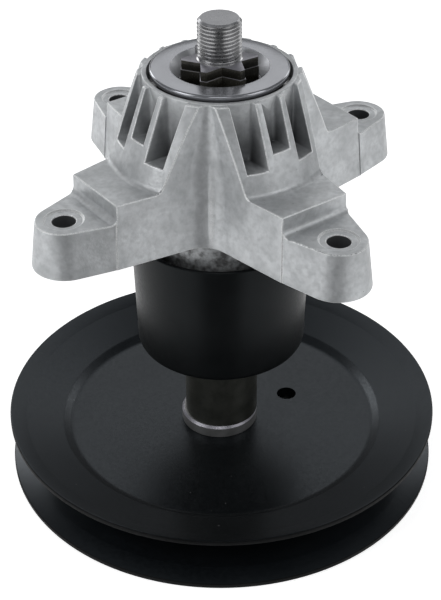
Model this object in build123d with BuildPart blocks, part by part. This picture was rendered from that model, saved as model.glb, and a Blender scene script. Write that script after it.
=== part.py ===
"""Blade spindle of a ride-on mower deck, standing on its belt pulley with the blade end up.

A four-eared cast housing carries a steel shaft in two sealed ball bearings. One nut on the
shaft's lower end clamps the whole stack: pulley, collar, spacer, dust cup, races and blade seat.
"""
import os
from math import cos, radians, sin, sqrt, tan

from build123d import *

os.makedirs("parts", exist_ok=True)

# Belt pulley, two pressed halves back to back
rim_radius = 86.0
pulley_height = 24.0
pulley_sheet = 2.2
groove_depth = 24.6
web_step_width = 3.4
web_step_rise = 2.3
lip_width = 6.5
lip_rise = 2.6
web_hole_diameter = 8.0
web_hole_circle = 30.5
web_hole_angle = 35.0

# Stack on the shaft, from the pulley up
collar_height = 5.0
collar_radius = 15.3
collar_chamfer = 0.9
collar_offset = 0.85
collar_offset_angle = 188.6
spacer_radius = 14.5
spacer_length = 37.7
bearing_spacer_length = 76.1
bearing_spacer_wall = 3.0
star_height = 10.0
stud_length = 15.0

# Spindle shaft
journal_radius = 12.5
shank_radius = 10.0
drive_flat_width = 17.0
stud_radius = 7.94
stud_chamfer = 1.1
star_points = 6
star_shoulder = 1.4
star_root_radius = 8.7
star_root_fillet = 0.8
star_tip_width = 2.6
star_angle = 14.4
star_step = 0.25
star_lead_height = 3.5

# Sealed ball bearing, 25 x 52 x 15
bearing_radius = 26.0
bearing_width = 15.0
ball_radius = 3.97
ball_count = 9
land_reach = 3.35
race_chamfer = 0.8
cage_wall = 2.6
cage_cap = 0.9
cage_skirt = 0.4
seal_thickness = 1.1
seal_recess = 0.5

# Blade seat, a dished washer in the mouth of the bore
seat_height = 6.9
seat_sheet = 2.2
seat_dish = 3.1
seat_throat_rise = 1.9
seat_edge_radius = 1.4

# Dust cup
cup_flare = 1.5
cup_depth = 50.4
cup_sheet = 1.5
cup_boss_radius = 17.0
cup_boss_rise = 1.5
cup_corner_radius = 2.4

# Cast housing
hub_wall = 1.9
tube_wall = 3.6
bore_shoulder = 3.0
tube_end_gap = 0.5
rim_height = 5.3
flange_rise = 41.2
ear_thickness = 17.7
shelf_rise = 7.2
cone_run = 11.7
cone_lip = 1.6
cone_drop = 0.4
cone_foot_fillet = 2.5
arm_count = 4
arm_angle = 45.0
step_setback = 12.85
arm_half_width = 14.1
arm_flare = 8.4
arm_draft = 3.6
valley_radius = 12.0
valley_top_radius = 3.0
step_fillet = 2.5
bolt_circle = 134.7
bolt_hole_radius = 4.2
bolt_seat_radius = 6.9
bolt_seat_depth = 0.7
ear_root = 4.0
ear_margin = 3.3
ear_flare = 2.2
rib_thickness = 3.0
rib_offset = 5.1
outer_pocket_edge = 14.3
pocket_draft = 1.0
middle_pocket_rise = 13.0
side_pocket_rise = 8.0
core_wall = 4.4
core_rib = 5.0
core_roof = 6.0
core_end_wall = 6.9
core_corner = 2.0

# Pulley nut, thin, with a flange
nut_across_flats = 24.0
nut_standoff = 1.8
nut_flange_radius = 15.0
nut_flange_height = 1.8
nut_chamfer_angle = 30.0
shaft_end_proud = 0.6

# Clearances
slip_clearance = 0.02
running_clearance = 0.05
flat_clearance = 0.15
seal_clearance = 0.2
pocket_clearance = 0.13
collar_gap = 0.1
star_gap = 0.7
seat_gap = 1.0
cup_gap = 1.5

# Radii that follow from the sizes above
web_radius = rim_radius - groove_depth
lip_radius = rim_radius - lip_width
star_radius = journal_radius + star_shoulder
pitch_radius = (bearing_radius + journal_radius) / 2
outer_land_radius = pitch_radius + land_reach
inner_land_radius = pitch_radius - land_reach
seat_radius = bearing_radius - seat_gap
seat_throat_radius = star_radius + star_gap
seat_mouth_radius = seat_throat_radius + seat_dish
hub_radius = bearing_radius + hub_wall
tube_radius = bearing_radius + tube_wall
cup_foot_radius = tube_radius + cup_gap + cup_sheet
cup_mouth_radius = cup_foot_radius + cup_flare
cone_top_radius = hub_radius + cone_lip
cone_foot_radius = cone_top_radius + cone_run
bolt_radius = bolt_circle / 2
arm_reach = bolt_radius - step_setback
ear_tip_radius = bolt_seat_radius + ear_margin
ear_foot_radius = ear_tip_radius + ear_flare

# Levels on the spindle axis, up from the lower rim that the part stands on
web_middle = pulley_height / 2
web_top = web_middle + pulley_sheet
web_bottom = web_middle - pulley_sheet
collar_top = web_top + collar_height
spacer_top = collar_top + spacer_length
lower_bearing_base = spacer_top + cup_sheet
lower_bearing_top = lower_bearing_base + bearing_width
upper_bearing_base = lower_bearing_top + bearing_spacer_length
upper_bearing_top = upper_bearing_base + bearing_width
star_top = upper_bearing_top + star_height
shaft_top = star_top + stud_length
nut_bottom = nut_standoff
nut_height = web_bottom - nut_bottom
shaft_bottom = nut_bottom - shaft_end_proud
tube_end = lower_bearing_base - tube_end_gap
flange_bottom = lower_bearing_top + flange_rise
ear_top = flange_bottom + ear_thickness
shelf_top = ear_top + shelf_rise
rim_top = upper_bearing_top + rim_height
cone_top = rim_top - cone_drop


def arm_half_width_at(reach):
    """Half the width of an arm at a distance from the axis, level with the shelf."""
    return arm_half_width + (arm_reach - reach) * tan(radians(arm_flare))


def arm_plan(level, valley):
    """Plan of the four arms at a level, with a rounded valley between each two."""
    with BuildSketch(Plane.XY.offset(level)) as plan:
        with PolarLocations(0, arm_count, start_angle=arm_angle):
            Polygon(
                (0, -arm_half_width_at(0)),
                (arm_reach, -arm_half_width),
                (arm_reach, arm_half_width),
                (0, arm_half_width_at(0)),
                align=None,
            )
        valleys = plan.vertices().sort_by_distance((0, 0))[:arm_count]
        fillet(valleys, valley)
    return plan.sketch


# Housing: arms, cone and ribs first, then ears, the hub that closes the pockets, and the bores
with BuildPart() as housing:
    shelf_plan = arm_plan(shelf_top, valley_radius)
    loft([shelf_plan, arm_plan(cone_top, valley_top_radius)], ruled=True)
    extrude(shelf_plan, amount=shelf_top - flange_bottom, dir=(0, 0, -1), taper=-arm_draft)
    with BuildSketch(Plane.XZ) as cone_section:
        with BuildLine():
            Polyline(
                (0, flange_bottom),
                (2 * arm_reach, flange_bottom),
                (2 * arm_reach, shelf_top),
                (cone_foot_radius, shelf_top),
                (cone_top_radius, cone_top),
                (0, cone_top),
                close=True,
            )
        make_face()
        cone_foot = cone_section.vertices().sort_by_distance((cone_foot_radius, shelf_top))[0]
        fillet(cone_foot, cone_foot_fillet)
    revolve(axis=Axis.Z, mode=Mode.INTERSECT)
    pocket_top = cone_top + rim_height
    with BuildSketch(Plane.XY.offset(shelf_top + middle_pocket_rise)):
        with PolarLocations(cone_foot_radius / 2, arm_count, start_angle=arm_angle):
            Rectangle(cone_foot_radius, 2 * rib_offset - rib_thickness)
    extrude(amount=pocket_top - shelf_top - middle_pocket_rise, taper=-pocket_draft, mode=Mode.SUBTRACT)
    side_pocket_width = outer_pocket_edge - rib_offset - rib_thickness / 2
    side_pocket_middle = (outer_pocket_edge + rib_offset + rib_thickness / 2) / 2
    with BuildSketch(Plane.XY.offset(shelf_top + side_pocket_rise)):
        with PolarLocations(0, arm_count, start_angle=arm_angle):
            with Locations(
                (cone_foot_radius / 2, side_pocket_middle),
                (cone_foot_radius / 2, -side_pocket_middle),
            ):
                Rectangle(cone_foot_radius, side_pocket_width)
    extrude(amount=pocket_top - shelf_top - side_pocket_rise, taper=-pocket_draft, mode=Mode.SUBTRACT)
    ear_slope = (ear_foot_radius - ear_tip_radius) / ear_thickness
    for arm in range(arm_count):
        turn = arm_angle + arm * 360 / arm_count
        for level in (flange_bottom, shelf_top):
            with BuildSketch(Plane.XY.rotated((0, 0, turn)).offset(level)):
                with Locations((bolt_radius, 0)):
                    Circle(ear_tip_radius + (ear_top - level) * ear_slope)
                arm_spread = (shelf_top - level) * tan(radians(arm_draft))
                with Locations((arm_reach - ear_root / 2, 0)):
                    Rectangle(ear_root, 2 * (arm_half_width + arm_spread))
                make_hull()
        loft(ruled=True)
        out = Vector(1, 0, 0).rotate(Axis.Z, turn)
        with BuildSketch(Plane(origin=(0, 0, 0), x_dir=out, z_dir=out.cross(Vector(0, 0, 1)))) as notch:
            with Locations((bolt_radius + arm_reach, ear_top + shelf_rise)):
                Rectangle(2 * bolt_radius, 2 * shelf_rise)
            step_foot = notch.vertices().sort_by_distance((arm_reach, ear_top))[0]
            fillet(step_foot, step_fillet)
        extrude(amount=2 * arm_half_width, both=True, mode=Mode.SUBTRACT)
    with BuildSketch(Plane.XZ):
        with BuildLine():
            Polyline(
                (0, tube_end),
                (tube_radius, tube_end),
                (tube_radius, flange_bottom),
                (hub_radius, rim_top),
                (0, rim_top),
                close=True,
            )
        make_face()
    revolve(axis=Axis.Z)
    with BuildSketch(Plane.XZ):
        seat_bore = bearing_radius + slip_clearance
        waist_bore = bearing_radius - bore_shoulder
        with BuildLine():
            Polyline(
                (0, tube_end),
                (seat_bore, tube_end),
                (seat_bore, lower_bearing_top),
                (waist_bore, lower_bearing_top),
                (waist_bore, upper_bearing_base),
                (seat_bore, upper_bearing_base),
                (seat_bore, rim_top),
                (0, rim_top),
                close=True,
            )
        make_face()
    revolve(axis=Axis.Z, mode=Mode.SUBTRACT)
    with BuildSketch(Plane.XY.offset(flange_bottom)) as core_plan:
        core_start = tube_radius + core_wall
        core_end = arm_reach - core_end_wall
        core_near = arm_half_width_at(core_start) - core_wall
        core_far = arm_half_width_at(core_end) - core_wall
        with PolarLocations(0, arm_count, start_angle=arm_angle):
            for side in (-1, 1):
                Polygon(
                    (core_start, side * core_rib / 2),
                    (core_end, side * core_rib / 2),
                    (core_end, side * core_far),
                    (core_start, side * core_near),
                    align=None,
                )
        fillet(core_plan.vertices(), core_corner)
    extrude(amount=shelf_top - core_roof - flange_bottom, mode=Mode.SUBTRACT)
    with Locations(Plane.XY.offset(ear_top)):
        with PolarLocations(bolt_radius, arm_count, start_angle=arm_angle):
            CounterBoreHole(bolt_hole_radius, bolt_seat_radius, bolt_seat_depth, ear_thickness)
housing.part.label = "housing"
export_step(housing.part, "parts/housing.step")

# Spindle shaft: journal, shank, drive flats, star and the two threaded ends
with BuildPart() as spindle_shaft:
    with BuildSketch(Plane.XZ) as shaft_section:
        with BuildLine():
            Polyline(
                (0, shaft_bottom),
                (stud_radius - stud_chamfer, shaft_bottom),
                (stud_radius, shaft_bottom + stud_chamfer),
                (stud_radius, web_bottom + flat_clearance),
                (shank_radius, web_bottom + flat_clearance),
                (shank_radius, lower_bearing_base),
                (journal_radius, lower_bearing_base),
                (journal_radius, upper_bearing_top),
                (stud_radius, upper_bearing_top),
                (stud_radius, shaft_top - stud_chamfer),
                (stud_radius - stud_chamfer, shaft_top),
                (0, shaft_top),
                close=True,
            )
        make_face()
    revolve(axis=Axis.Z)
    for star_level, star_rise, star_inset in (
        (upper_bearing_top, star_height - star_lead_height, 0),
        (star_top - star_lead_height, star_lead_height, star_step),
    ):
        half_pitch = radians(180 / star_points)
        root = star_root_radius - star_inset
        tip = star_radius - star_inset
        tip_half_width = star_tip_width / 2 - star_inset
        with BuildSketch(Plane.XY.offset(star_level)) as star:
            with PolarLocations(0, star_points, start_angle=star_angle):
                Polygon(
                    (0, 0),
                    (root * cos(half_pitch), -root * sin(half_pitch)),
                    (tip, -tip_half_width),
                    (tip, tip_half_width),
                    (root * cos(half_pitch), root * sin(half_pitch)),
                    align=None,
                )
            roots = star.vertices().sort_by_distance((0, 0))[:star_points]
            fillet(roots, star_root_fillet)
        extrude(amount=star_rise)
    with BuildSketch(Plane.XY.offset(web_bottom + flat_clearance)):
        Circle(journal_radius)
        Rectangle(2 * journal_radius, drive_flat_width, mode=Mode.SUBTRACT)
    extrude(amount=web_top - web_bottom - flat_clearance, mode=Mode.SUBTRACT)
spindle_shaft.part.label = "spindle_shaft"
export_step(spindle_shaft.part, "parts/spindle_shaft.step")


def ring(name, points):
    """A turned ring: its half section, as (radius, height) points, revolved about the spindle axis."""
    with BuildPart() as turned:
        with BuildSketch(Plane.XZ):
            with BuildLine():
                Polyline(*points, close=True)
            make_face()
        revolve(axis=Axis.Z)
    turned.part.label = name
    export_step(turned.part, f"parts/{name}.step")


def sealed_bearing(name, base):
    """One sealed ball bearing whose lower faces lie at the level given."""
    top = base + bearing_width
    middle = base + bearing_width / 2
    groove_radius = ball_radius + running_clearance
    bore = journal_radius + slip_clearance

    for race, outer, inner in (
        ("outer_race", bearing_radius, outer_land_radius),
        ("inner_race", inner_land_radius, bore),
    ):
        with BuildPart() as race_ring:
            with BuildSketch(Plane.XZ) as race_section:
                with Locations(((outer + inner) / 2, middle)):
                    Rectangle(outer - inner, bearing_width)
                seat_side = outer if race == "outer_race" else inner
                seat_corners = race_section.vertices().filter_by(
                    lambda corner: abs(corner.X - seat_side) < slip_clearance / 2
                )
                chamfer(seat_corners, race_chamfer)
                with Locations((pitch_radius, middle)):
                    Circle(groove_radius, mode=Mode.SUBTRACT)
            revolve(axis=Axis.Z)
        race_ring.part.label = f"{name}_{race}"
        export_step(race_ring.part, f"parts/{name}_{race}.step")

    with BuildPart() as balls:
        with Locations((0, 0, middle)):
            with PolarLocations(pitch_radius, ball_count):
                Sphere(ball_radius)
    balls.part.label = f"{name}_balls"
    export_step(balls.part, f"parts/{name}_balls.step")

    with BuildPart() as cage:
        with BuildSketch(Plane.XY.offset(middle + cage_skirt)):
            Circle(pitch_radius + cage_wall / 2)
            Circle(pitch_radius - cage_wall / 2, mode=Mode.SUBTRACT)
        extrude(amount=ball_radius + pocket_clearance + cage_cap - cage_skirt)
        with Locations((0, 0, middle)):
            with PolarLocations(pitch_radius, ball_count):
                Sphere(ball_radius + pocket_clearance, mode=Mode.SUBTRACT)
    cage.part.label = f"{name}_cage"
    export_step(cage.part, f"parts/{name}_cage.step")

    seal_outer = outer_land_radius - slip_clearance
    seal_inner = inner_land_radius + seal_clearance
    for side, seal_base in (
        ("lower", base + seal_recess),
        ("upper", top - seal_recess - seal_thickness),
    ):
        ring(
            f"{name}_{side}_seal",
            [
                (seal_inner, seal_base),
                (seal_outer, seal_base),
                (seal_outer, seal_base + seal_thickness),
                (seal_inner, seal_base + seal_thickness),
            ],
        )


sealed_bearing("lower_bearing", lower_bearing_base)
sealed_bearing("upper_bearing", upper_bearing_base)

# Tube that keeps the two inner races apart
bearing_spacer_bore = journal_radius + slip_clearance
ring(
    "bearing_spacer",
    [
        (bearing_spacer_bore, lower_bearing_top),
        (bearing_spacer_bore + bearing_spacer_wall, lower_bearing_top),
        (bearing_spacer_bore + bearing_spacer_wall, upper_bearing_base),
        (bearing_spacer_bore, upper_bearing_base),
    ],
)

# Blade seat: a pressed washer whose throat stands on the upper inner race
seat_top = upper_bearing_top + seat_height
with BuildPart() as blade_seat:
    with BuildSketch(Plane.XZ) as seat_section:
        with BuildLine():
            Polyline(
                (seat_throat_radius, upper_bearing_top),
                (seat_throat_radius + seat_sheet, upper_bearing_top),
                (seat_throat_radius + seat_sheet, upper_bearing_top + seat_throat_rise),
                (seat_mouth_radius + seat_sheet, seat_top - seat_sheet),
                (seat_radius, seat_top - seat_sheet),
                (seat_radius, seat_top),
                (seat_mouth_radius, seat_top),
                (seat_throat_radius, upper_bearing_top + seat_throat_rise),
                close=True,
            )
        make_face()
        seat_edge = seat_section.vertices().sort_by_distance((seat_radius, seat_top))[0]
        fillet(seat_edge, seat_edge_radius)
    revolve(axis=Axis.Z)
blade_seat.part.label = "blade_seat"
export_step(blade_seat.part, "parts/blade_seat.step")

# Dust cup: pressed, with a boss in its floor clamped between the spacer and the lower inner race
cup_foot = spacer_top - cup_boss_rise
cup_mouth = cup_foot + cup_depth
cup_bore = shank_radius + slip_clearance
with BuildPart() as dust_cup:
    with BuildSketch(Plane.XZ) as cup_section:
        with BuildLine():
            Polyline(
                (cup_bore, spacer_top),
                (cup_boss_radius, spacer_top),
                (cup_boss_radius + cup_boss_rise, cup_foot),
                (cup_foot_radius, cup_foot),
                (cup_mouth_radius, cup_mouth),
                (cup_mouth_radius - cup_sheet, cup_mouth),
                (cup_foot_radius - cup_sheet, cup_foot + cup_sheet),
                (cup_boss_radius + cup_boss_rise, cup_foot + cup_sheet),
                (cup_boss_radius, spacer_top + cup_sheet),
                (cup_bore, spacer_top + cup_sheet),
                close=True,
            )
        make_face()
        outer_corner = cup_section.vertices().sort_by_distance((cup_foot_radius, cup_foot))[0]
        fillet(outer_corner, cup_corner_radius)
    revolve(axis=Axis.Z)
dust_cup.part.label = "dust_cup"
export_step(dust_cup.part, "parts/dust_cup.step")

# Spacer tube between the cup and the collar
spacer_bore = shank_radius + slip_clearance
ring(
    "pulley_spacer",
    [
        (spacer_bore, collar_top),
        (spacer_radius, collar_top),
        (spacer_radius, spacer_top),
        (spacer_bore, spacer_top),
    ],
)

# Collar: a turned ring with play on the shank, clamped a little off centre
collar_x = collar_offset * cos(radians(collar_offset_angle))
collar_y = collar_offset * sin(radians(collar_offset_angle))
with BuildPart() as collar:
    with BuildSketch(Plane.XY.offset(web_top)):
        with Locations((collar_x, collar_y)):
            Circle(collar_radius)
            Circle(shank_radius + collar_offset + collar_gap, mode=Mode.SUBTRACT)
    extrude(amount=collar_height)
    collar_edge = collar.edges().filter_by(GeomType.CIRCLE).group_by(Axis.Z)[-1].sort_by(SortBy.RADIUS)[-1]
    chamfer(collar_edge, collar_chamfer)
collar.part.label = "collar"
export_step(collar.part, "parts/collar.step")


def pulley_half(name, way):
    """One pressed pulley half; way is 1 for the half that rises from the middle and -1 for the other."""
    flange_foot = web_radius + web_step_width
    flange_foot_rise = pulley_sheet + web_step_rise
    rim_rise = pulley_height / 2
    lip_foot_rise = rim_rise - lip_rise
    outside = [
        (0, pulley_sheet),
        (web_radius, pulley_sheet),
        (flange_foot, flange_foot_rise),
        (lip_radius, lip_foot_rise),
        (rim_radius, rim_rise),
    ]
    inside = [
        (rim_radius, rim_rise - pulley_sheet),
        (lip_radius, lip_foot_rise - pulley_sheet),
        (flange_foot, flange_foot_rise - pulley_sheet),
        (flange_foot - web_step_width / 2, 0),
        (0, 0),
    ]
    with BuildPart() as half:
        with BuildSketch(Plane.XZ):
            with BuildLine():
                Polyline(*[(r, web_middle + way * h) for r, h in outside + inside], close=True)
            make_face()
        revolve(axis=Axis.Z)
        with BuildSketch(Plane.XY.offset(web_bottom)):
            with BuildSketch(mode=Mode.PRIVATE) as drive_hole:
                Circle(shank_radius + flat_clearance)
                Rectangle(
                    2 * (shank_radius + flat_clearance),
                    drive_flat_width + 2 * flat_clearance,
                    mode=Mode.INTERSECT,
                )
            add(drive_hole.sketch)
            with PolarLocations(web_hole_circle, 1, start_angle=web_hole_angle):
                Circle(web_hole_diameter / 2)
        extrude(amount=web_top - web_bottom, mode=Mode.SUBTRACT)
    half.part.label = name
    export_step(half.part, f"parts/{name}.step")


pulley_half("pulley_upper_half", 1)
pulley_half("pulley_lower_half", -1)

# Pulley nut
with BuildPart() as pulley_nut:
    with BuildSketch(Plane.XY.offset(nut_bottom)):
        RegularPolygon(nut_across_flats / 2, 6, major_radius=False)
    extrude(amount=nut_height)
    with BuildSketch(Plane.XZ):
        corner_radius = nut_across_flats / sqrt(3)
        crown_radius = nut_across_flats / 2 * cos(radians(nut_chamfer_angle / 6))
        crown_drop = (corner_radius - crown_radius) * tan(radians(nut_chamfer_angle))
        with BuildLine():
            Polyline(
                (0, nut_bottom),
                (crown_radius, nut_bottom),
                (corner_radius, nut_bottom + crown_drop),
                (corner_radius, web_bottom),
                (0, web_bottom),
                close=True,
            )
        make_face()
    revolve(axis=Axis.Z, mode=Mode.INTERSECT)
    with BuildSketch(Plane.XY.offset(web_bottom - nut_flange_height)):
        Circle(nut_flange_radius)
    extrude(amount=nut_flange_height)
    with BuildSketch(Plane.XY.offset(nut_bottom)):
        Circle(stud_radius + slip_clearance)
    extrude(amount=nut_height, mode=Mode.SUBTRACT)
pulley_nut.part.label = "pulley_nut"
export_step(pulley_nut.part, "parts/pulley_nut.step")
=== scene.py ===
import random
from math import cos, pi, radians, sin, tan

import bmesh
import bpy
from mathutils import Matrix, Vector
from mathutils.bvhtree import BVHTree


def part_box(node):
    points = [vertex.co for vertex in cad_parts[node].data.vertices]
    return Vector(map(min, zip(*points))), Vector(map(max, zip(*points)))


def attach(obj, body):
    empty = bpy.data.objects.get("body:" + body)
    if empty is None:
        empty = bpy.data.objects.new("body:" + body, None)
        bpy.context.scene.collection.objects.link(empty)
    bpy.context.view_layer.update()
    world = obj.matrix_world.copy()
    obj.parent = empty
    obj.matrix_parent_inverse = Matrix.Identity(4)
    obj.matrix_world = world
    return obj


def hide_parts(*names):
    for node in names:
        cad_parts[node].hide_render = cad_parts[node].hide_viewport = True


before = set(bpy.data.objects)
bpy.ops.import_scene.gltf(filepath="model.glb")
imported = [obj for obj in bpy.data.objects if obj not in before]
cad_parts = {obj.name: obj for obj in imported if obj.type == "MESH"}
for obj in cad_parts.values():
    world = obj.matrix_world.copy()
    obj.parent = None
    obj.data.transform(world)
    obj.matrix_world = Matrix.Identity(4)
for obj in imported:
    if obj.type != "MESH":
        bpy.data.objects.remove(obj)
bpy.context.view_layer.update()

mm = 0.001


# Housing: one die-cast aluminium piece with four eared arms round a ribbed cone and a lower tube.
# It is left as cast, matt and mottled, with small rounded edges painted bright,
# partly as rubbed wear and partly as painted highlight. Pockets and bolt holes carry painted shade,
# each valley's raised parting line carries a painted highlight, and the tube is darker in patches below the
# flange.
# Bolts through the ears hold it to the mower deck, and both bearings sit in its bore.
edge_round = 0.4 * mm
edge_turn = radians(24)
flange_low = 114.6 * mm
ear_high = 132.3 * mm
ear_reach = 60.0 * mm
parting_width = 3.2 * mm
parting_rise = 0.18 * mm
parting_sink = 0.03 * mm
parting_highlight_strength = 1.0
parting_length = 32.0 * mm
parting_lift = 1 * mm
parting_steps = 24
parting_turn = radians(-87)
flash_ear = radians(-45)
bolt_reach = 67.35 * mm
flash_count = 30
flash_side = 40 * mm * mm
flash_near = 8 * mm
flash_far = 19 * mm
flash_least = 0.14
flash_most = 0.36
level_slack = 0.05 * mm
pocket_low = 144.0 * mm
pocket_side = 14.4 * mm
cone_low = (139.5 * mm, 41.2 * mm)
cone_high = (169.4 * mm, 29.5 * mm)
mouth_lip = 1.6 * mm
mouth_wear_highlight = 0.3
skin_edge = 0.9 * mm
pocket_shade = 0.95
shade_start = 1.2 * mm
shade_depth = 5.5 * mm
hole_side = 4.5 * mm
hole_lip = 0.2 * mm
darkening_fade = 2 * mm


def merged_copy(node):
    """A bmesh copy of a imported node, its loose triangles joined and its flat faces made whole."""
    bm = bmesh.new()
    bm.from_mesh(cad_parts[node].data)
    bmesh.ops.remove_doubles(bm, verts=bm.verts, dist=0.002 * mm)
    bmesh.ops.dissolve_limit(bm, angle_limit=radians(0.5), verts=bm.verts, edges=bm.edges)
    return bm


def new_piece(name, bm, body, slot, node, *materials):
    """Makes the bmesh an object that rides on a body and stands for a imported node."""
    mesh = bpy.data.meshes.new(name)
    bm.to_mesh(mesh)
    bm.free()
    piece = bpy.data.objects.new(name, mesh)
    bpy.context.scene.collection.objects.link(piece)
    for material in materials:
        mesh.materials.append(material)
    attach(piece, body)
    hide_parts(node)
    return piece


def new_finish(name, metallic, specular):
    """A material whose Principled shader has its constant values set."""
    material = bpy.data.materials.new(name)
    material.use_nodes = True
    shader = material.node_tree.nodes["Principled BSDF"]
    shader.inputs["Metallic"].default_value = metallic
    shader.inputs["Specular IOR Level"].default_value = specular
    return material, material.node_tree.nodes, material.node_tree.links, shader


# Cloudy tone, fine grain and sparse specks of dust, which every finish of the part uses
surface_marks = bpy.data.node_groups.new("surface_marks", "ShaderNodeTree")
for socket_name in ("Cloud Scale", "Grain Scale", "Speck Scale"):
    surface_marks.interface.new_socket(socket_name, in_out="INPUT", socket_type="NodeSocketFloat")
for socket_name in ("Cloud", "Grain", "Specks"):
    surface_marks.interface.new_socket(socket_name, in_out="OUTPUT", socket_type="NodeSocketFloat")
mark_nodes = surface_marks.nodes
mark_links = surface_marks.links
mark_values = mark_nodes.new("NodeGroupInput")
mark_results = mark_nodes.new("NodeGroupOutput")
mark_place = mark_nodes.new("ShaderNodeTexCoord")
for mark, detail in (("Cloud", 3.0), ("Grain", 5.0)):
    noise = mark_nodes.new("ShaderNodeTexNoise")
    noise.inputs["Detail"].default_value = detail
    mark_links.new(mark_place.outputs["Object"], noise.inputs["Vector"])
    mark_links.new(mark_values.outputs[f"{mark} Scale"], noise.inputs["Scale"])
    mark_links.new(noise.outputs["Fac"], mark_results.inputs[mark])
speck_cells = mark_nodes.new("ShaderNodeTexVoronoi")
speck_pick = mark_nodes.new("ShaderNodeSeparateColor")
speck_size = mark_nodes.new("ShaderNodeMath")
speck_size.operation = "MULTIPLY"
speck_size.inputs[1].default_value = 0.09
speck_dot = mark_nodes.new("ShaderNodeMath")
speck_dot.operation = "LESS_THAN"
speck_rare = mark_nodes.new("ShaderNodeMath")
speck_rare.operation = "GREATER_THAN"
speck_rare.inputs[1].default_value = 0.86
speck_both = mark_nodes.new("ShaderNodeMath")
speck_both.operation = "MULTIPLY"
mark_links.new(mark_place.outputs["Object"], speck_cells.inputs["Vector"])
mark_links.new(mark_values.outputs["Speck Scale"], speck_cells.inputs["Scale"])
mark_links.new(speck_cells.outputs["Color"], speck_pick.inputs["Color"])
mark_links.new(speck_pick.outputs["Green"], speck_size.inputs[0])
mark_links.new(speck_cells.outputs["Distance"], speck_dot.inputs[0])
mark_links.new(speck_size.outputs[0], speck_dot.inputs[1])
mark_links.new(speck_pick.outputs["Red"], speck_rare.inputs[0])
mark_links.new(speck_dot.outputs[0], speck_both.inputs[0])
mark_links.new(speck_rare.outputs[0], speck_both.inputs[1])
mark_links.new(speck_both.outputs[0], mark_results.inputs["Specks"])


def add_marks(nodes, cloud, grain, speck):
    """Places the shared marks in a material, at scales of its own."""
    marks = nodes.new("ShaderNodeGroup")
    marks.node_tree = surface_marks
    marks.inputs["Cloud Scale"].default_value = cloud
    marks.inputs["Grain Scale"].default_value = grain
    marks.inputs["Speck Scale"].default_value = speck
    return marks


def add_tone(nodes, links, mask, dark, light, low=0.35, high=0.65):
    """A colour that goes from dark to light as the mask goes from low to high."""
    tone = nodes.new("ShaderNodeValToRGB")
    tone.color_ramp.elements[0].position = low
    tone.color_ramp.elements[0].color = (*dark, 1.0)
    tone.color_ramp.elements[1].position = high
    tone.color_ramp.elements[1].color = (*light, 1.0)
    links.new(mask, tone.inputs["Fac"])
    return tone.outputs["Color"]


def add_range(nodes, links, mask, least, most):
    """A value that goes from least to most as the mask goes over its middle range."""
    span = nodes.new("ShaderNodeMapRange")
    span.inputs["From Min"].default_value = 0.3
    span.inputs["From Max"].default_value = 0.7
    span.inputs["To Min"].default_value = least
    span.inputs["To Max"].default_value = most
    links.new(mask, span.inputs["Value"])
    return span.outputs["Result"]


def add_mix(nodes, links, mask, under, over):
    """One colour laid over another where the mask is white; over may be a plain colour."""
    mix = nodes.new("ShaderNodeMix")
    mix.data_type = "RGBA"
    links.new(mask, mix.inputs["Factor"])
    links.new(under, mix.inputs["A"])
    mix.inputs["B"].default_value = (*over, 1.0)
    return mix.outputs["Result"]


def add_bump(nodes, links, shader, height, depth, strength=1.0):
    """Raises the surface by a height mask, depth metres from black to white."""
    bump = nodes.new("ShaderNodeBump")
    bump.inputs["Strength"].default_value = strength
    bump.inputs["Distance"].default_value = depth
    links.new(height, bump.inputs["Height"])
    links.new(bump.outputs["Normal"], shader.inputs["Normal"])


casting, nodes, links, shader = new_finish("as_cast_aluminium", 0.6, 0.4)
marks = add_marks(nodes, 110.0, 1100.0, 420.0)
patches = add_marks(nodes, 460.0, 2400.0, 900.0)
cast_tone = add_tone(nodes, links, marks.outputs["Cloud"], (0.45, 0.463, 0.474), (0.59, 0.606, 0.619))
patchy = add_range(nodes, links, patches.outputs["Cloud"], -0.2, 0.5)
mottled = add_mix(nodes, links, patchy, cast_tone, (0.35, 0.362, 0.372))
pitted = add_mix(nodes, links, marks.outputs["Specks"], mottled, (0.2, 0.205, 0.21))
cast_place = nodes.new("ShaderNodeTexCoord")
place_parts = nodes.new("ShaderNodeSeparateXYZ")
links.new(cast_place.outputs["Object"], place_parts.inputs["Vector"])
# Below the flange the tube is painted darker in patches, fading in over a short height.
below_flange = nodes.new("ShaderNodeMapRange")
below_flange.inputs["From Min"].default_value = flange_low
below_flange.inputs["From Max"].default_value = flange_low - darkening_fade
links.new(place_parts.outputs["Z"], below_flange.inputs["Value"])
tube_darkening = nodes.new("ShaderNodeMath")
tube_darkening.operation = "MULTIPLY"
links.new(below_flange.outputs["Result"], tube_darkening.inputs[0])
links.new(add_range(nodes, links, patches.outputs["Cloud"], -0.2, 1.1), tube_darkening.inputs[1])
darker_low_tube = add_mix(nodes, links, tube_darkening.outputs[0], pitted, (0.15, 0.15, 0.15))
# Painted shade: the casting turns near black deep in the pockets and inside the bolt holes.
painted_shade = nodes.new("ShaderNodeAttribute")
painted_shade.attribute_name = "painted_shade"
with_painted_shade = add_mix(nodes, links, painted_shade.outputs["Fac"], darker_low_tube, (0.085, 0.089, 0.093))
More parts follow.
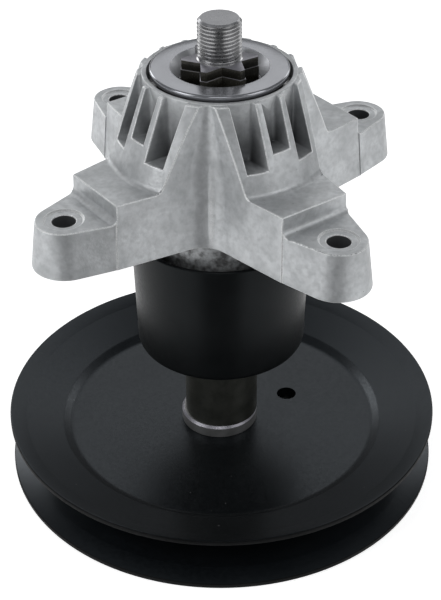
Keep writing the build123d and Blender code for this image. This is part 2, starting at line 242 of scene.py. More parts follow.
# Painted highlight and wear: rounded edges and parting lines are painted near white in grainy spots, the
# edges partly as rubbed wear and partly as painted highlight, the parting lines as painted highlight.
edge_wear_highlight = nodes.new("ShaderNodeAttribute")
edge_wear_highlight.attribute_name = "edge_wear_highlight"
parting_highlight = nodes.new("ShaderNodeAttribute")
parting_highlight.attribute_name = "parting_highlight"
wear_highlight = nodes.new("ShaderNodeMath")
wear_highlight.operation = "MAXIMUM"
links.new(edge_wear_highlight.outputs["Fac"], wear_highlight.inputs[0])
links.new(parting_highlight.outputs["Fac"], wear_highlight.inputs[1])
wear_highlight_spots = nodes.new("ShaderNodeMath")
wear_highlight_spots.operation = "MULTIPLY"
links.new(wear_highlight.outputs[0], wear_highlight_spots.inputs[0])
links.new(add_range(nodes, links, patches.outputs["Grain"], 0.25, 1.25), wear_highlight_spots.inputs[1])
edges_worn_and_highlit = add_mix(nodes, links, wear_highlight_spots.outputs[0], with_painted_shade, (0.82, 0.83, 0.835))
links.new(edges_worn_and_highlit, shader.inputs["Base Color"])
links.new(add_range(nodes, links, marks.outputs["Grain"], 0.38, 0.54), shader.inputs["Roughness"])
ripple = nodes.new("ShaderNodeMath")
ripple.operation = "ADD"
links.new(marks.outputs["Grain"], ripple.inputs[0])
links.new(patches.outputs["Cloud"], ripple.inputs[1])
add_bump(nodes, links, shader, ripple.outputs[0], 0.06 * mm)


def parting_line(skin, turn):
    """A soft raised line down one valley, where two slides of the die met, as a bmesh; it carries a painted
    highlight, strongest along its middle and at its lower end.
    """
    bm = bmesh.new()
    parting_highlight_layer = bm.verts.layers.float.new("parting_highlight")
    out = Vector((cos(turn), sin(turn), 0))
    across = Vector((-sin(turn), cos(turn), 0))
    rows = []
    for step in range(parting_steps + 1):
        along = step / parting_steps
        level = flange_low + parting_lift + parting_length * along
        row = []
        for share in (-1, -0.6, -0.25, 0.25, 0.6, 1):
            start = out * ear_reach + across * share * parting_width / 2 + Vector((0, 0, level))
            rise = parting_rise * (cos(pi * share) + 1) / 2 * sin(pi * along) ** 0.4
            row.append(bm.verts.new(skin.ray_cast(start, -out)[0] + out * (rise - parting_sink)))
            # Painted highlight, fading out towards the top of the line.
            row[-1][parting_highlight_layer] = parting_highlight_strength * rise / parting_rise * (1 - along)
        rows.append(row)
    for low_row, high_row in zip(rows, rows[1:]):
        for corners in zip(low_row, low_row[1:], high_row[1:], high_row):
            bm.faces.new(corners)
    return bm


def skin_depth(point):
    """How far a point on the cone lies inside its skin; none below the pockets."""
    if point.z < pocket_low:
        return 0.0
    share = (point.z - cone_low[0]) / (cone_high[0] - cone_low[0])
    return max(0.0, cone_low[1] + share * (cone_high[1] - cone_low[1]) - point.xy.length)


def join(bm, other, material):
    """Adds another bmesh to the first one, with its faces in one material slot."""
    for face in other.faces:
        face.material_index = material
    passing = bpy.data.meshes.new("passing")
    other.to_mesh(passing)
    other.free()
    bm.from_mesh(passing)
    bpy.data.meshes.remove(passing)


bm = merged_copy("housing")
edge_wear_highlight_layer = bm.faces.layers.float.new("edge_wear_highlight")
painted_shade_layer = bm.verts.layers.float.new("painted_shade")
bm.verts.layers.float.new("parting_highlight")
sharp = [
    edge
    for edge in bm.edges
    if edge.calc_face_angle(0) > edge_turn
    and (edge.is_convex or skin_depth((edge.verts[0].co + edge.verts[1].co) / 2) < skin_edge)
]
flash_middle = Vector((cos(flash_ear), sin(flash_ear), 0)) * bolt_reach
ragged = [
    edge
    for edge in sharp
    if all(
        abs(vert.co.z - ear_high) < level_slack
        and flash_near < (vert.co - flash_middle).xy.length < flash_far
        and flash_middle.xy.cross(vert.co.xy) < flash_side
        for vert in edge.verts
    )
]
ragged_ends = [(edge.verts[0].co.copy(), edge.verts[1].co.copy()) for edge in ragged]
skin = BVHTree.FromBMesh(bm)
rounds = bmesh.ops.bevel(
    bm,
    geom=sharp,
    offset=edge_round,
    segments=2,
    profile=0.5,
    affect="EDGES",
    material=-1,
    clamp_overlap=False,
)
# Painted highlight and wear: rounded edges on the outer skin are painted fully bright, those round the mouth
# a little.
for face in rounds["faces"]:
    middle = face.calc_center_median()
    if skin_depth(middle) < skin_edge:
        face[edge_wear_highlight_layer] = 1.0
    elif middle.z > cone_high[0] - mouth_lip:
        face[edge_wear_highlight_layer] = mouth_wear_highlight
for valley in range(4):
    join(bm, parting_line(skin, parting_turn + valley * pi / 2), 0)
chance = random.Random(11)
lengths = [(end - start).length for start, end in ragged_ends]
for start, end in chance.choices(ragged_ends, weights=lengths, k=flash_count):
    lump = bmesh.new()
    bmesh.ops.create_icosphere(lump, subdivisions=2, radius=chance.uniform(flash_least, flash_most) * mm)
    for vert in lump.verts:
        vert.co *= chance.uniform(0.8, 1.2)
    stretch = (chance.uniform(0.7, 1.6), chance.uniform(0.7, 1.6), 0.6)
    bmesh.ops.scale(lump, verts=lump.verts, vec=stretch)
    bmesh.ops.translate(lump, verts=lump.verts, vec=start.lerp(end, chance.random()))
    join(bm, lump, 0)
for face in bm.faces:
    face.smooth = True
# Painted shade: each vertex gets a darkening weight that grows with its depth in a pocket and is full inside
# a bolt hole.
for vert in bm.verts:
    along = (abs(vert.co.x) + abs(vert.co.y)) / 2 ** 0.5 - bolt_reach
    aside = (abs(vert.co.x) - abs(vert.co.y)) / 2 ** 0.5
    depth = skin_depth(vert.co)
    if abs(aside) < pocket_side:
        vert[painted_shade_layer] = pocket_shade * min(1.0, max(0.0, depth - shade_start) / shade_depth)
    if Vector((along, aside)).length < hole_side and vert.co.z < ear_high - hole_lip:
        vert[painted_shade_layer] = pocket_shade
bmesh.ops.triangulate(bm, faces=[face for face in bm.faces if len(face.verts) > 4])
housing = new_piece("housing_casting", bm, "housing_body", "cast_aluminium", "housing", casting)
housing.modifiers.new("even_shading", "WEIGHTED_NORMAL").keep_sharp = True


# Bearings: two sealed ball bearings, ground steel races and balls with a moulded cage.
# Rubber seals close both sides. They stay as packed and get their finishes here.


def plain_finish(name, metallic, specular, scales, dark, light, rough, bump, tint=(1.0, 1.0, 1.0)):
    """A finish with a cloudy tone, grainy roughness and fine bump, for a piece of one colour."""
    material, nodes, links, shader = new_finish(name, metallic, specular)
    shader.inputs["Specular Tint"].default_value = (*tint, 1.0)
    marks = add_marks(nodes, *scales)
    links.new(add_tone(nodes, links, marks.outputs["Cloud"], dark, light), shader.inputs["Base Color"])
    links.new(add_range(nodes, links, marks.outputs["Grain"], *rough), shader.inputs["Roughness"])
    add_bump(nodes, links, shader, marks.outputs["Grain"], bump)
    return material


bright = plain_finish(
    "turned_bright_steel",
    metallic=1.0,
    specular=0.5,
    scales=(140.0, 700.0, 200.0),
    dark=(0.34, 0.34, 0.345),
    light=(0.41, 0.41, 0.415),
    rough=(0.25, 0.31),
    bump=0.001 * mm,
)

rubber = plain_finish(
    "seal_rubber",
    metallic=0.0,
    specular=0.4,
    scales=(200.0, 3000.0, 300.0),
    dark=(0.012, 0.012, 0.012),
    light=(0.022, 0.021, 0.02),
    rough=(0.5, 0.7),
    bump=0.02 * mm,
)

nylon = plain_finish(
    "cage_nylon",
    metallic=0.0,
    specular=0.5,
    scales=(200.0, 2500.0, 300.0),
    dark=(0.55, 0.5, 0.38),
    light=(0.65, 0.6, 0.48),
    rough=(0.4, 0.55),
    bump=0.02 * mm,
)

for bearing in ("lower_bearing", "upper_bearing"):
    for piece, material in (
        ("outer_race", bright),
        ("inner_race", bright),
        ("balls", bright),
        ("cage", nylon),
        ("lower_seal", rubber),
        ("upper_seal", rubber),
    ):
        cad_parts[f"{bearing}_{piece}"].data.materials.clear()
        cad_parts[f"{bearing}_{piece}"].data.materials.append(material)


# Bearing spacer and pulley nut: a plain steel tube inside the housing and a thin flange nut.
# Both stay as packed. The tube is dark from its tube mill, and the nut is bright.
dark = plain_finish(
    "dark_steel",
    metallic=0.7,
    specular=0.5,
    scales=(110.0, 1800.0, 160.0),
    dark=(0.05, 0.052, 0.045),
    light=(0.1, 0.102, 0.09),
    rough=(0.36, 0.55),
    bump=0.03 * mm,
)
for node, material in (("bearing_spacer", dark), ("pulley_nut", bright)):
    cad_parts[node].data.materials.clear()
    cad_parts[node].data.materials.append(material)


# Spindle shaft: one turned steel bar with a six-point star that drives the blade.
# Both ends carry a rolled thread; the star is dark, and the thread is rolled bright.
stud_radius = 7.94 * mm
stud_chamfer = 1.1 * mm
thread_pitch = 25.4 * mm / 18
thread_depth = 0.61 * thread_pitch
thread_steps = 56
neck_radius = 7.75 * mm
neck_height = 1.3 * mm
neck_flare = 0.45 * mm
shaft_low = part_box("spindle_shaft")[0].z
shaft_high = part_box("spindle_shaft")[1].z
seat_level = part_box("upper_bearing_inner_race")[1].z
nut_gap = 0.15 * mm
star_height = 10.0 * mm
star_lead = 3.5 * mm
star_points = 6
star_first = radians(14.4)
star_radius = 13.9 * mm
star_root = 8.7 * mm
star_tip = 2.6 * mm
star_step = 0.25 * mm
star_round = 0.22 * mm
journal_radius = 12.5 * mm
shank_radius = 10.0 * mm
web_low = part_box("pulley_nut")[1].z
lower_race_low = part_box("lower_bearing_inner_race")[0].z
turned_steps = 128


def close_rims(bm):
    """Fills every open loop of a mesh with one face."""
    open_edges = [edge for edge in bm.edges if edge.is_boundary]
    bmesh.ops.holes_fill(bm, edges=open_edges, sides=0)


def thread(low, high, chamfer_low, chamfer_high):
    """A right-hand thread between two levels, with chamfered ends, as a closed bmesh."""
    bm = bmesh.new()
    turns = int((high - low) / thread_pitch) + 4
    start = low - 2 * thread_pitch
    crest = stud_radius
    root = stud_radius - thread_depth
    profile = [(root, 0.0), (root, 0.16), (crest, 0.5), (crest, 0.66), (root, 1.0)]
    verts = [bm.verts.new((r, 0, start + share * thread_pitch)) for r, share in profile]
    edges = [bm.edges.new(pair) for pair in zip(verts, verts[1:])]
    bmesh.ops.spin(
        bm,
        geom=verts + edges,
        axis=(0, 0, 1),
        dvec=(0, 0, thread_pitch / thread_steps),
        angle=turns * 2 * pi,
        steps=turns * thread_steps,
    )
    bmesh.ops.remove_doubles(bm, verts=bm.verts, dist=0.001 * mm)
    for level, way in ((low, -1), (high, 1)):
        bmesh.ops.bisect_plane(
            bm,
            geom=bm.verts[:] + bm.edges[:] + bm.faces[:],
            plane_co=(0, 0, level),
            plane_no=(0, 0, way),
            clear_outer=True,
        )
    for vert in bm.verts:
        radius = vert.co.xy.length
        allowed = min(
            stud_radius - chamfer_low + vert.co.z - low if chamfer_low else radius,
            stud_radius - chamfer_high + high - vert.co.z if chamfer_high else radius,
        )
        if radius > allowed:
            vert.co.xy *= allowed / radius
    close_rims(bm)
    bmesh.ops.poke(bm, faces=[face for face in bm.faces if len(face.verts) > 8])
    bmesh.ops.recalc_face_normals(bm, faces=bm.faces)
    return bm


def turned(outline, steps=turned_steps, centre=(0.0, 0.0)):
    """A ring spun from a closed outline of (radius, height) points, as a bmesh."""
    bm = bmesh.new()
    verts = [bm.verts.new((centre[0] + radius, centre[1], height)) for radius, height in outline]
    edges = [bm.edges.new(pair) for pair in zip(verts, verts[1:] + verts[:1])]
    bmesh.ops.spin(
        bm,
        geom=verts + edges,
        cent=(*centre, 0),
        axis=(0, 0, 1),
        angle=2 * pi,
        steps=steps,
        use_merge=True,
    )
    bmesh.ops.remove_doubles(bm, verts=bm.verts, dist=0.001 * mm)
    bmesh.ops.dissolve_degenerate(bm, edges=bm.edges, dist=0.0005 * mm)
    bmesh.ops.recalc_face_normals(bm, faces=bm.faces)
    return bm


def rounded(corners, steps=5):
    """An outline from (radius, height, rounding) corners, with an arc where there is rounding."""
    outline = []
    for before, corner, after in zip(corners[-1:] + corners[:-1], corners, corners[1:] + corners[:1]):
        here = Vector(corner[:2])
        back = (Vector(before[:2]) - here).normalized()
        ahead = (Vector(after[:2]) - here).normalized()
        rounding = corner[2]
        if rounding == 0:
            outline.append(tuple(here))
            continue
        half = back.angle(ahead) / 2
        middle = here + (back + ahead).normalized() * rounding / sin(half)
        start = (here + back * rounding / tan(half) - middle).normalized()
        end = (here + ahead * rounding / tan(half) - middle).normalized()
        for step in range(steps + 1):
            outline.append(tuple(middle + start.slerp(end, step / steps) * rounding))
    return outline


def star_block(low, high, inset):
    """One storey of the star, between two levels, its outline drawn in by an inset."""
    bm = bmesh.new()
    tip = star_radius - inset
    root = star_root - inset
    half_tip = star_tip / 2 - inset
    outline = []
    for point in range(star_points):
        turn = Matrix.Rotation(star_first + point * 2 * pi / star_points, 3, "Z")
        half_pitch = pi / star_points
        for x, y in ((tip, -half_tip), (tip, half_tip), (root * cos(half_pitch), root * sin(half_pitch))):
            outline.append(bm.verts.new(turn @ Vector((x, y, low))))
    base = bm.faces.new(outline)
    raised = bmesh.ops.extrude_face_region(bm, geom=[base])
    top = [item for item in raised["geom"] if isinstance(item, bmesh.types.BMVert)]
    bmesh.ops.translate(bm, verts=top, vec=(0, 0, high - low))
    bmesh.ops.recalc_face_normals(bm, faces=bm.faces)
    bmesh.ops.bevel(
        bm,
        geom=bm.edges[:],
        offset=star_round,
        segments=2,
        profile=0.5,
        affect="EDGES",
        material=-1,
        clamp_overlap=True,
    )
    return bm


def smooth_faces(bm, turn):
    """Shades faces smoothly, and keeps edges sharp where they turn more than an angle."""
    for face in bm.faces:
        face.smooth = True
    for edge in bm.edges:
        edge.smooth = edge.calc_face_angle(0) < turn


star_high = seat_level + star_height
shank_low = web_low + nut_gap
bm = bmesh.new()
join(bm, thread(star_high + neck_height - thread_pitch, shaft_high, 0, stud_chamfer), 0)
join(bm, thread(shaft_low, shank_low, stud_chamfer, 0), 0)
join(bm, star_block(seat_level, star_high - star_lead, 0), 1)
join(bm, star_block(star_high - star_lead, star_high, star_step), 1)
neck = [
    (0, star_high - neck_height, 0),
    (neck_radius, star_high - neck_height, 0),
    (neck_radius, star_high - neck_flare, 0),
    (neck_radius + neck_flare, star_high, 0),
    (neck_radius, star_high + neck_flare, 0.3 * mm),
    (neck_radius, star_high + neck_height, 0.2 * mm),
    (0, star_high + neck_height, 0),
]
shank = [
    (0, shank_low),
    (shank_radius, shank_low),
    (shank_radius, lower_race_low),
    (journal_radius, lower_race_low),
    (journal_radius, seat_level),
    (0, seat_level),
]
join(bm, turned(rounded(neck), steps=96), 0)
join(bm, turned(shank, steps=64), 1)
# Painted light: upward faces of the star and shank take a much lighter copy of the star steel.
for face in bm.faces:
    if face.material_index == 1 and face.normal.z > 0.75:
        face.material_index = 2
    if face.normal.z > 0.5 and face.calc_center_median().z > shaft_high - stud_chamfer:
        face.material_index = 3
smooth_faces(bm, radians(28))

star_steel = plain_finish(
    "star_steel",
    metallic=0.5,
    specular=0.4,
    scales=(160.0, 1500.0, 160.0),
    dark=(0.009, 0.0085, 0.0065),
    light=(0.034, 0.032, 0.025),
    rough=(0.18, 0.3),
    bump=0.02 * mm,
)

# A much lighter copy of the star steel for faces that look up: painted light from above.
top_lit_steel = plain_finish(
    "top_lit_star_steel",
    metallic=0.5,
    specular=0.4,
    scales=(160.0, 1500.0, 160.0),
    dark=(0.23, 0.227, 0.252),
    light=(0.29, 0.286, 0.318),
    rough=(0.26, 0.42),
    bump=0.01 * mm,
)

end_steel = plain_finish(
    "faced_end_steel",
    metallic=0.6,
    specular=0.5,
    scales=(160.0, 900.0, 160.0),
    dark=(0.28, 0.283, 0.297),
    light=(0.32, 0.323, 0.337),
    rough=(0.26, 0.34),
    bump=0.002 * mm,
)
shaft_finishes = (bright, star_steel, top_lit_steel, end_steel)
new_piece("threaded_star_shaft", bm, "spindle", "dark_steel", "spindle_shaft", *shaft_finishes)


# Blade seat: a dished washer pressed from steel sheet, on which the blade rests.
# It stands on the upper inner race and turns with the shaft, satin from the press.
seat_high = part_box("blade_seat")[1].z
seat_radius = 25.0 * mm
seat_sheet = 2.2 * mm
seat_mouth = 17.7 * mm
seat_throat = 14.6 * mm
seat_throat_level = seat_level + 1.9 * mm
bm = turned(
    rounded(
        [
            (seat_throat, seat_level, 0.3 * mm),
            (seat_throat + seat_sheet, seat_level, 0.3 * mm),
            (seat_throat + seat_sheet, seat_throat_level, 0.8 * mm),
            (seat_mouth + seat_sheet, seat_high - seat_sheet, 0.6 * mm),
            (seat_radius, seat_high - seat_sheet, 0.4 * mm),
            (seat_radius, seat_high, 0.9 * mm),
            (seat_mouth, seat_high, 0.3 * mm),
            (seat_throat, seat_throat_level, 0.8 * mm),
        ]
    )
)
# Painted light: the sloped dish faces inside the mouth take a lighter, rougher copy of the seat steel.
for face in bm.faces:
    if 0.1 < face.normal.z < 0.85 and face.calc_center_median().xy.length < seat_mouth:
        face.material_index = 1
smooth_faces(bm, radians(30))

# A lighter, rougher copy of the satin seat steel for the dish slope: painted light.
dish = plain_finish(
    "lit_dish_steel",
    metallic=0.5,
    specular=0.4,
    scales=(120.0, 1700.0, 160.0),
    dark=(0.58, 0.59, 0.62),
    light=(0.66, 0.67, 0.7),
    rough=(0.42, 0.54),
    bump=0.01 * mm,
)

satin = plain_finish(
    "satin_steel",
    metallic=0.72,
    specular=0.5,
    scales=(120.0, 1700.0, 160.0),
    dark=(0.295, 0.302, 0.324),
    light=(0.32, 0.327, 0.35),
    rough=(0.14, 0.2),
    bump=0.003 * mm,
)
new_piece("dished_blade_seat", bm, "spindle", "satin_steel", "blade_seat", satin, dish)


# Dust cup: pressed from thin steel and painted satin black, open at the top round the tube.
# A raised boss in its floor is clamped between the spacer and the lower inner race.
cup_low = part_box("dust_cup")[0].z
cup_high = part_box("dust_cup")[1].z
cup_sheet = 1.5 * mm
slide_gap = 0.02 * mm
cup_bore = shank_radius + slide_gap
cup_boss = 17.0 * mm
cup_boss_rise = 1.5 * mm
cup_foot = 32.6 * mm
cup_mouth = 34.1 * mm
bm = turned(
    rounded(
        [
            (cup_bore, cup_low + cup_boss_rise, 0),
            (cup_boss, cup_low + cup_boss_rise, 0.7 * mm),
            (cup_boss + cup_boss_rise, cup_low, 0.7 * mm),
            (cup_foot, cup_low, 2.4 * mm),
            (cup_mouth, cup_high, 0.6 * mm),
            (cup_mouth - cup_sheet, cup_high, 0.6 * mm),
            (cup_foot - cup_sheet, cup_low + cup_sheet, 1.0 * mm),
            (cup_boss + cup_boss_rise, cup_low + cup_sheet, 0.5 * mm),
            (cup_boss, cup_low + cup_boss_rise + cup_sheet, 0.5 * mm),
            (cup_bore, cup_low + cup_boss_rise + cup_sheet, 0),
        ]
    ),
    steps=160,
)
smooth_faces(bm, radians(40))
cup_paint = plain_finish(
    "cup_black_paint",
    metallic=0.0,
    specular=0.135,
    tint=(0.86, 0.95, 1.0),
    scales=(70.0, 900.0, 300.0),
    dark=(0.0052, 0.0059, 0.0063),
    light=(0.0082, 0.0091, 0.0097),
    rough=(0.3, 0.4),
    bump=0.02 * mm,
)
new_piece("pressed_dust_cup", bm, "spindle", "black_paint", "dust_cup", cup_paint)


# Pulley spacer: a cut length of dark steel tube between the collar and the cup.
# The nut clamps it end to end with the rest of the stack.
spacer_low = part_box("pulley_spacer")[0].z
spacer_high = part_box("pulley_spacer")[1].z
spacer_radius = 14.5 * mm
spacer_bore = shank_radius + slide_gap
bm = turned(
    rounded(
        [
            (spacer_bore, spacer_low, 0.2 * mm),
            (spacer_radius, spacer_low, 0.35 * mm),
            (spacer_radius, spacer_high, 0.35 * mm),
            (spacer_bore, spacer_high, 0.2 * mm),
        ]
    )
)
smooth_faces(bm, radians(40))
new_piece("spacer_tube", bm, "spindle", "dark_steel", "pulley_spacer", dark)


# Collar: a bright turned ring under the spacer, with a chamfered upper edge.
# It has play on the shaft and sits a little off centre where the nut clamped it.
collar_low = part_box("collar")[0]
collar_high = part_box("collar")[1]
collar_radius = 15.3 * mm
collar_chamfer = 0.9 * mm
collar_bore = 10.95 * mm
collar_middle = tuple((collar_low + collar_high).xy / 2)
bm = turned(
    rounded(
        [
            (collar_bore, collar_low.z, 0.15 * mm),
            (collar_radius, collar_low.z, 0.25 * mm),
            (collar_radius, collar_high.z - collar_chamfer, 0.12 * mm),
            (collar_radius - collar_chamfer, collar_high.z, 0.12 * mm),
            (collar_bore, collar_high.z, 0.15 * mm),
        ]
    ),
    centre=collar_middle,
)
# Painted light: the chamfer takes the lighter top-face steel, so it shows brighter than the wall.
for face in bm.faces:
    if 0.3 < face.normal.z < 0.95:
        face.material_index = 1
smooth_faces(bm, radians(25))
ring_steel, nodes, links, shader = new_finish("turned_collar_steel", 0.65, 0.5)
marks = add_marks(nodes, 200.0, 900.0, 300.0)
tool_lines = nodes.new("ShaderNodeTexWave")
tool_lines.bands_direction = "Z"
tool_lines.inputs["Scale"].default_value = 480.0
tool_lines.inputs["Distortion"].default_value = 0.6
tool_place = nodes.new("ShaderNodeTexCoord")
links.new(tool_place.outputs["Object"], tool_lines.inputs["Vector"])
tone = add_tone(nodes, links, marks.outputs["Cloud"], (0.2, 0.2, 0.2), (0.27, 0.27, 0.27))
links.new(tone, shader.inputs["Base Color"])
links.new(add_range(nodes, links, marks.outputs["Grain"], 0.34, 0.46), shader.inputs["Roughness"])
add_bump(nodes, links, shader, tool_lines.outputs["Fac"], 0.01 * mm)
new_piece("turned_collar", bm, "spindle", "bright_steel", "collar", ring_steel, top_lit_steel)


# Belt pulley: two pressed sheet halves, back to back, painted satin black.
# The web has a double-flatted hole for the shaft and one small hole; the rims flare outwards.
rim_radius = 86.0 * mm
pulley_sheet = 2.2 * mm
pulley_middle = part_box("pulley_upper_half")[0].z
rim_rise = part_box("pulley_upper_half")[1].z - pulley_middle
web_radius = 61.4 * mm
step_width = 3.4 * mm
step_rise = 2.3 * mm
lip_radius = 79.5 * mm
lip_rise = 2.6 * mm
hole_radius = 4.0 * mm
hole_reach = 30.5 * mm
hole_turn = radians(35)
drive_gap = 0.15 * mm
drive_radius = shank_radius + drive_gap
drive_flat = 8.65 * mm
rim_steps = 224
web_start = 46.0 * mm
chip_width = 0.3 * mm
find_slack = 0.01 * mm


def round_hole(bm, radius, centre, steps, flat=0.0):
    """A loop of edges for a hole; a flat limits how far it reaches along Y."""
    loop = bmesh.ops.create_circle(bm, segments=steps, radius=radius, matrix=Matrix.Translation(centre))
    for vert in loop["verts"]:
        if flat:
            vert.co.y = max(-flat, min(flat, vert.co.y))
    return loop["verts"]


def pulley_half(name, node, way):
    """One pressed half; way is 1 for the upper one and -1 for the lower one."""
    foot = web_radius + step_width
    outside = [
        (web_start, pulley_sheet, 0),
        (web_radius, pulley_sheet, 4.0 * mm),
        (foot, pulley_sheet + step_rise, 4.0 * mm),
        (lip_radius, rim_rise - lip_rise, 3.0 * mm),
        (rim_radius, rim_rise, 0.5 * mm),
        (rim_radius, rim_rise - pulley_sheet, 0.5 * mm),
        (lip_radius, rim_rise - lip_rise - pulley_sheet, 3.0 * mm),
        (foot, step_rise, 1.2 * mm),
        (foot - step_width / 2, 0, 0.8 * mm),
        (web_start, 0, 0),
    ]
    bm = bmesh.new()
    section = [(r, pulley_middle + way * h) for r, h in rounded(outside)]
    verts = [bm.verts.new((r, 0, z)) for r, z in section]
    edges = [bm.edges.new(pair) for pair in zip(verts, verts[1:])]
    bmesh.ops.spin(
        bm,
        geom=verts + edges,
        axis=(0, 0, 1),
        angle=2 * pi,
        steps=rim_steps,
        use_merge=True,
    )
    bmesh.ops.remove_doubles(bm, verts=bm.verts, dist=0.001 * mm)
    hole_place = Vector((hole_reach * cos(hole_turn), hole_reach * sin(hole_turn), 0))
    for rise in (0, pulley_sheet):
        level = pulley_middle + way * rise
        ring = [
            edge
            for edge in bm.edges
            if edge.is_boundary and abs(edge.verts[0].co.z - level) < find_slack
        ]
        loops = [round_hole(bm, drive_radius, (0, 0, level), 64, drive_flat)]
        loops.append(round_hole(bm, hole_radius, hole_place + Vector((0, 0, level)), 32))
        for loop in loops:
            ring += list({edge for vert in loop for edge in vert.link_edges})
        bmesh.ops.triangle_fill(bm, edges=ring, use_beauty=True)
    for middle, reach in ((Vector((0, 0, 0)), drive_radius), (hole_place, hole_radius)):
        walls = [
            edge
            for edge in bm.edges
            if edge.is_boundary and (edge.verts[0].co - middle).xy.length < reach + find_slack
        ]
        bmesh.ops.bridge_loops(bm, edges=walls)
    bmesh.ops.recalc_face_normals(bm, faces=bm.faces)
    for face in bm.faces:
        if face.calc_center_median().xy.length > rim_radius - chip_width:
            face.material_index = 1
    smooth_faces(bm, radians(35))
    new_piece(name, bm, "spindle", "black_paint", node, paint, chipped_paint)


paint, nodes, links, shader = new_finish("pulley_black_paint", 0.0, 0.4)
shader.inputs["Specular Tint"].default_value = (0.78, 0.89, 1.0, 1.0)
marks = add_marks(nodes, 60.0, 800.0, 210.0)
tone = add_tone(nodes, links, marks.outputs["Cloud"], (0.0012, 0.0016, 0.002), (0.0026, 0.0032, 0.0037))
dusty = add_mix(nodes, links, marks.outputs["Specks"], tone, (0.06, 0.06, 0.06))
links.new(dusty, shader.inputs["Base Color"])
links.new(add_range(nodes, links, marks.outputs["Grain"], 0.28, 0.38), shader.inputs["Roughness"])
add_bump(nodes, links, shader, marks.outputs["Grain"], 0.015 * mm)
chipped_paint, nodes, links, shader = new_finish("chipped_rim_paint", 0.0, 0.08)
marks = add_marks(nodes, 60.0, 800.0, 330.0)
tone = add_tone(nodes, links, marks.outputs["Cloud"], (0.0026, 0.003, 0.0034), (0.0062, 0.0068, 0.0074))
chips = add_mix(nodes, links, marks.outputs["Specks"], tone, (0.4, 0.4, 0.4))
links.new(chips, shader.inputs["Base Color"])
links.new(add_range(nodes, links, marks.outputs["Grain"], 0.45, 0.6), shader.inputs["Roughness"])
add_bump(nodes, links, shader, marks.outputs["Grain"], 0.03 * mm)
pulley_half("upper_pulley_pressing", "pulley_upper_half", 1)
pulley_half("lower_pulley_pressing", "pulley_lower_half", -1)


# Studio: a pale paper floor that reads as white, duller under the pulley, in a grey room.
# Large soft boxes stand left, right, in front and behind, with two low ones at the back corners.
# A dark card on the floor, hidden from the camera, gives the painted fronts their dark reflection.
photo_turn = radians(8.6)
floor_radius = 6.0
shaded_radius = rim_radius - 2 * mm
bm = bmesh.new()
for radius in (shaded_radius, floor_radius):
    bmesh.ops.create_circle(bm, segments=96, radius=radius)
bmesh.ops.bridge_loops(bm, edges=bm.edges[:])
shaded_rim = [edge for edge in bm.edges if edge.is_boundary and edge.verts[0].co.length < rim_radius]
for face in bmesh.ops.holes_fill(bm, edges=shaded_rim, sides=0)["faces"]:
    face.material_index = 1
bmesh.ops.recalc_face_normals(bm, faces=bm.faces)
floor_mesh = bpy.data.meshes.new("studio_floor")
bm.to_mesh(floor_mesh)
bm.free()
floor = bpy.data.objects.new("studio_floor", floor_mesh)
bpy.context.scene.collection.objects.link(floor)
paper = bpy.data.materials.new("pale_paper")
paper.use_nodes = True
nodes = paper.node_tree.nodes
links = paper.node_tree.links
shader = nodes["Principled BSDF"]
shader.inputs["Base Color"].default_value = (0.8, 0.8, 0.8, 1.0)
shader.inputs["Roughness"].default_value = 0.9
shader.inputs["Specular IOR Level"].default_value = 0.1
shader.inputs["Emission Color"].default_value = (1.0, 1.0, 1.0, 1.0)
rays = nodes.new("ShaderNodeLightPath")
seen = nodes.new("ShaderNodeMath")
seen.operation = "MAXIMUM"
links.new(rays.outputs["Is Camera Ray"], seen.inputs[0])
links.new(rays.outputs["Is Glossy Ray"], seen.inputs[1])
seen_through = nodes.new("ShaderNodeMath")
seen_through.operation = "MAXIMUM"
links.new(seen.outputs[0], seen_through.inputs[0])
links.new(rays.outputs["Is Transmission Ray"], seen_through.inputs[1])
glow = nodes.new("ShaderNodeMath")
glow.operation = "MULTIPLY"
glow.inputs[1].default_value = 0.7
links.new(seen_through.outputs[0], glow.inputs[0])
links.new(glow.outputs[0], shader.inputs["Emission Strength"])
floor_mesh.materials.append(paper)
shaded_paper = bpy.data.materials.new("shaded_paper")
shaded_paper.use_nodes = True
shaded_paper.node_tree.nodes["Principled BSDF"].inputs["Base Color"].default_value = (0.8, 0.8, 0.8, 1.0)
floor_mesh.materials.append(shaded_paper)

card_near = 0.12
card_far = 0.75
card_spread = 0.45
card_lift = 1 * mm
bm = bmesh.new()
card_corners = [(-card_near, card_near), (card_near, card_near), (card_far, card_far), (-card_far, card_far)]
bm.faces.new([bm.verts.new((x * card_spread, -y, card_lift)) for x, y in card_corners])
bmesh.ops.rotate(bm, verts=bm.verts, matrix=Matrix.Rotation(photo_turn, 3, "Z"))
card_mesh = bpy.data.meshes.new("dark_card")
bm.to_mesh(card_mesh)
bm.free()
card = bpy.data.objects.new("dark_card", card_mesh)
bpy.context.scene.collection.objects.link(card)
card_black = bpy.data.materials.new("dark_card_paper")
card_black.use_nodes = True
card_shader = card_black.node_tree.nodes["Principled BSDF"]
card_shader.inputs["Base Color"].default_value = (0.07, 0.07, 0.07, 1.0)
card_shader.inputs["Roughness"].default_value = 0.9
card_mesh.materials.append(card_black)
card.visible_camera = False
card.visible_shadow = False

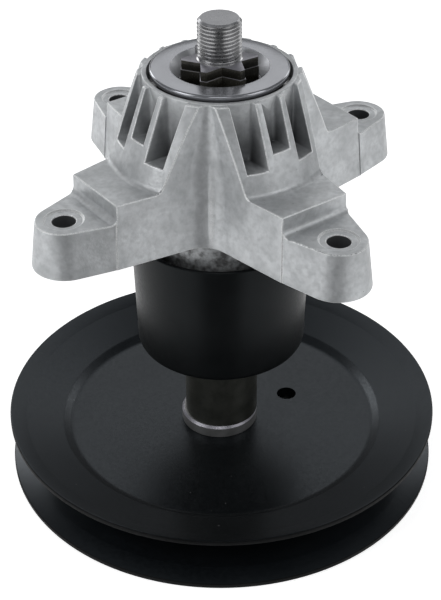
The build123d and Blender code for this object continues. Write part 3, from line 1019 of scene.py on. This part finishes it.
world = bpy.data.worlds.new("studio_room")
world.use_nodes = True
nodes = world.node_tree.nodes
links = world.node_tree.links
rays = nodes.new("ShaderNodeLightPath")
room_tone = nodes.new("ShaderNodeMix")
room_tone.data_type = "RGBA"
room_tone.inputs["A"].default_value = (0.17, 0.175, 0.18, 1.0)
room_tone.inputs["B"].default_value = (1.0, 1.0, 1.0, 1.0)
links.new(rays.outputs["Is Camera Ray"], room_tone.inputs["Factor"])
links.new(room_tone.outputs["Result"], nodes["Background"].inputs["Color"])
bpy.context.scene.world = world

aim_point = Vector((0, 0, 0.1))
for name, turn, height, distance, width, tall, power in (
    ("left_soft_box", -62, 0.62, 0.95, 0.5, 0.8, 3.7),
    ("right_soft_box", 62, 0.62, 0.95, 0.5, 0.8, 2.6),
    ("front_soft_box", 0, 1.0, 0.9, 0.6, 0.4, 1.8),
    ("back_soft_box", 180, 0.76, 0.75, 1.0, 0.6, 1.85),
    ("left_back_box", -139, 0.42, 0.9, 0.3, 0.45, 1.6),
    ("right_back_box", 139, 0.42, 0.9, 0.3, 0.45, 0.9),
):
    lamp = bpy.data.lights.new(name, "AREA")
    lamp.shape = "RECTANGLE"
    lamp.size = width
    lamp.size_y = tall
    lamp.energy = power
    box = bpy.data.objects.new(name, lamp)
    bpy.context.scene.collection.objects.link(box)
    around = radians(turn) + photo_turn
    place = Vector((distance * sin(around), -distance * cos(around), height))
    aim = (aim_point - place).to_track_quat("-Z", "Y").to_matrix().to_4x4()
    box.matrix_world = Matrix.Translation(place) @ aim

camera_data = bpy.data.cameras.new("photo_camera")
camera_data.sensor_width = 36.0
camera_data.lens = 87.762
camera = bpy.data.objects.new("photo_camera", camera_data)
bpy.context.scene.collection.objects.link(camera)
camera_distance = 0.474204
camera_height = 0.393106
camera_pitch = radians(34.18)
camera_yaw = radians(-0.02)
camera_roll = radians(-0.33)
turn_to_photo = Matrix.Rotation(photo_turn, 3, "Z")
look = turn_to_photo @ Vector(
    (sin(camera_yaw) * cos(camera_pitch), cos(camera_yaw) * cos(camera_pitch), -sin(camera_pitch))
)
level_right = look.cross(Vector((0, 0, 1))).normalized()
level_up = level_right.cross(look)
right = level_right * cos(camera_roll) + level_up * sin(camera_roll)
up = level_up * cos(camera_roll) - level_right * sin(camera_roll)
place = turn_to_photo @ Vector((0, -camera_distance, camera_height))
camera.matrix_world = Matrix.Translation(place) @ Matrix((right, up, -look)).transposed().to_4x4()
bpy.context.scene.camera = camera
bpy.context.scene.view_settings.view_transform = "Standard"
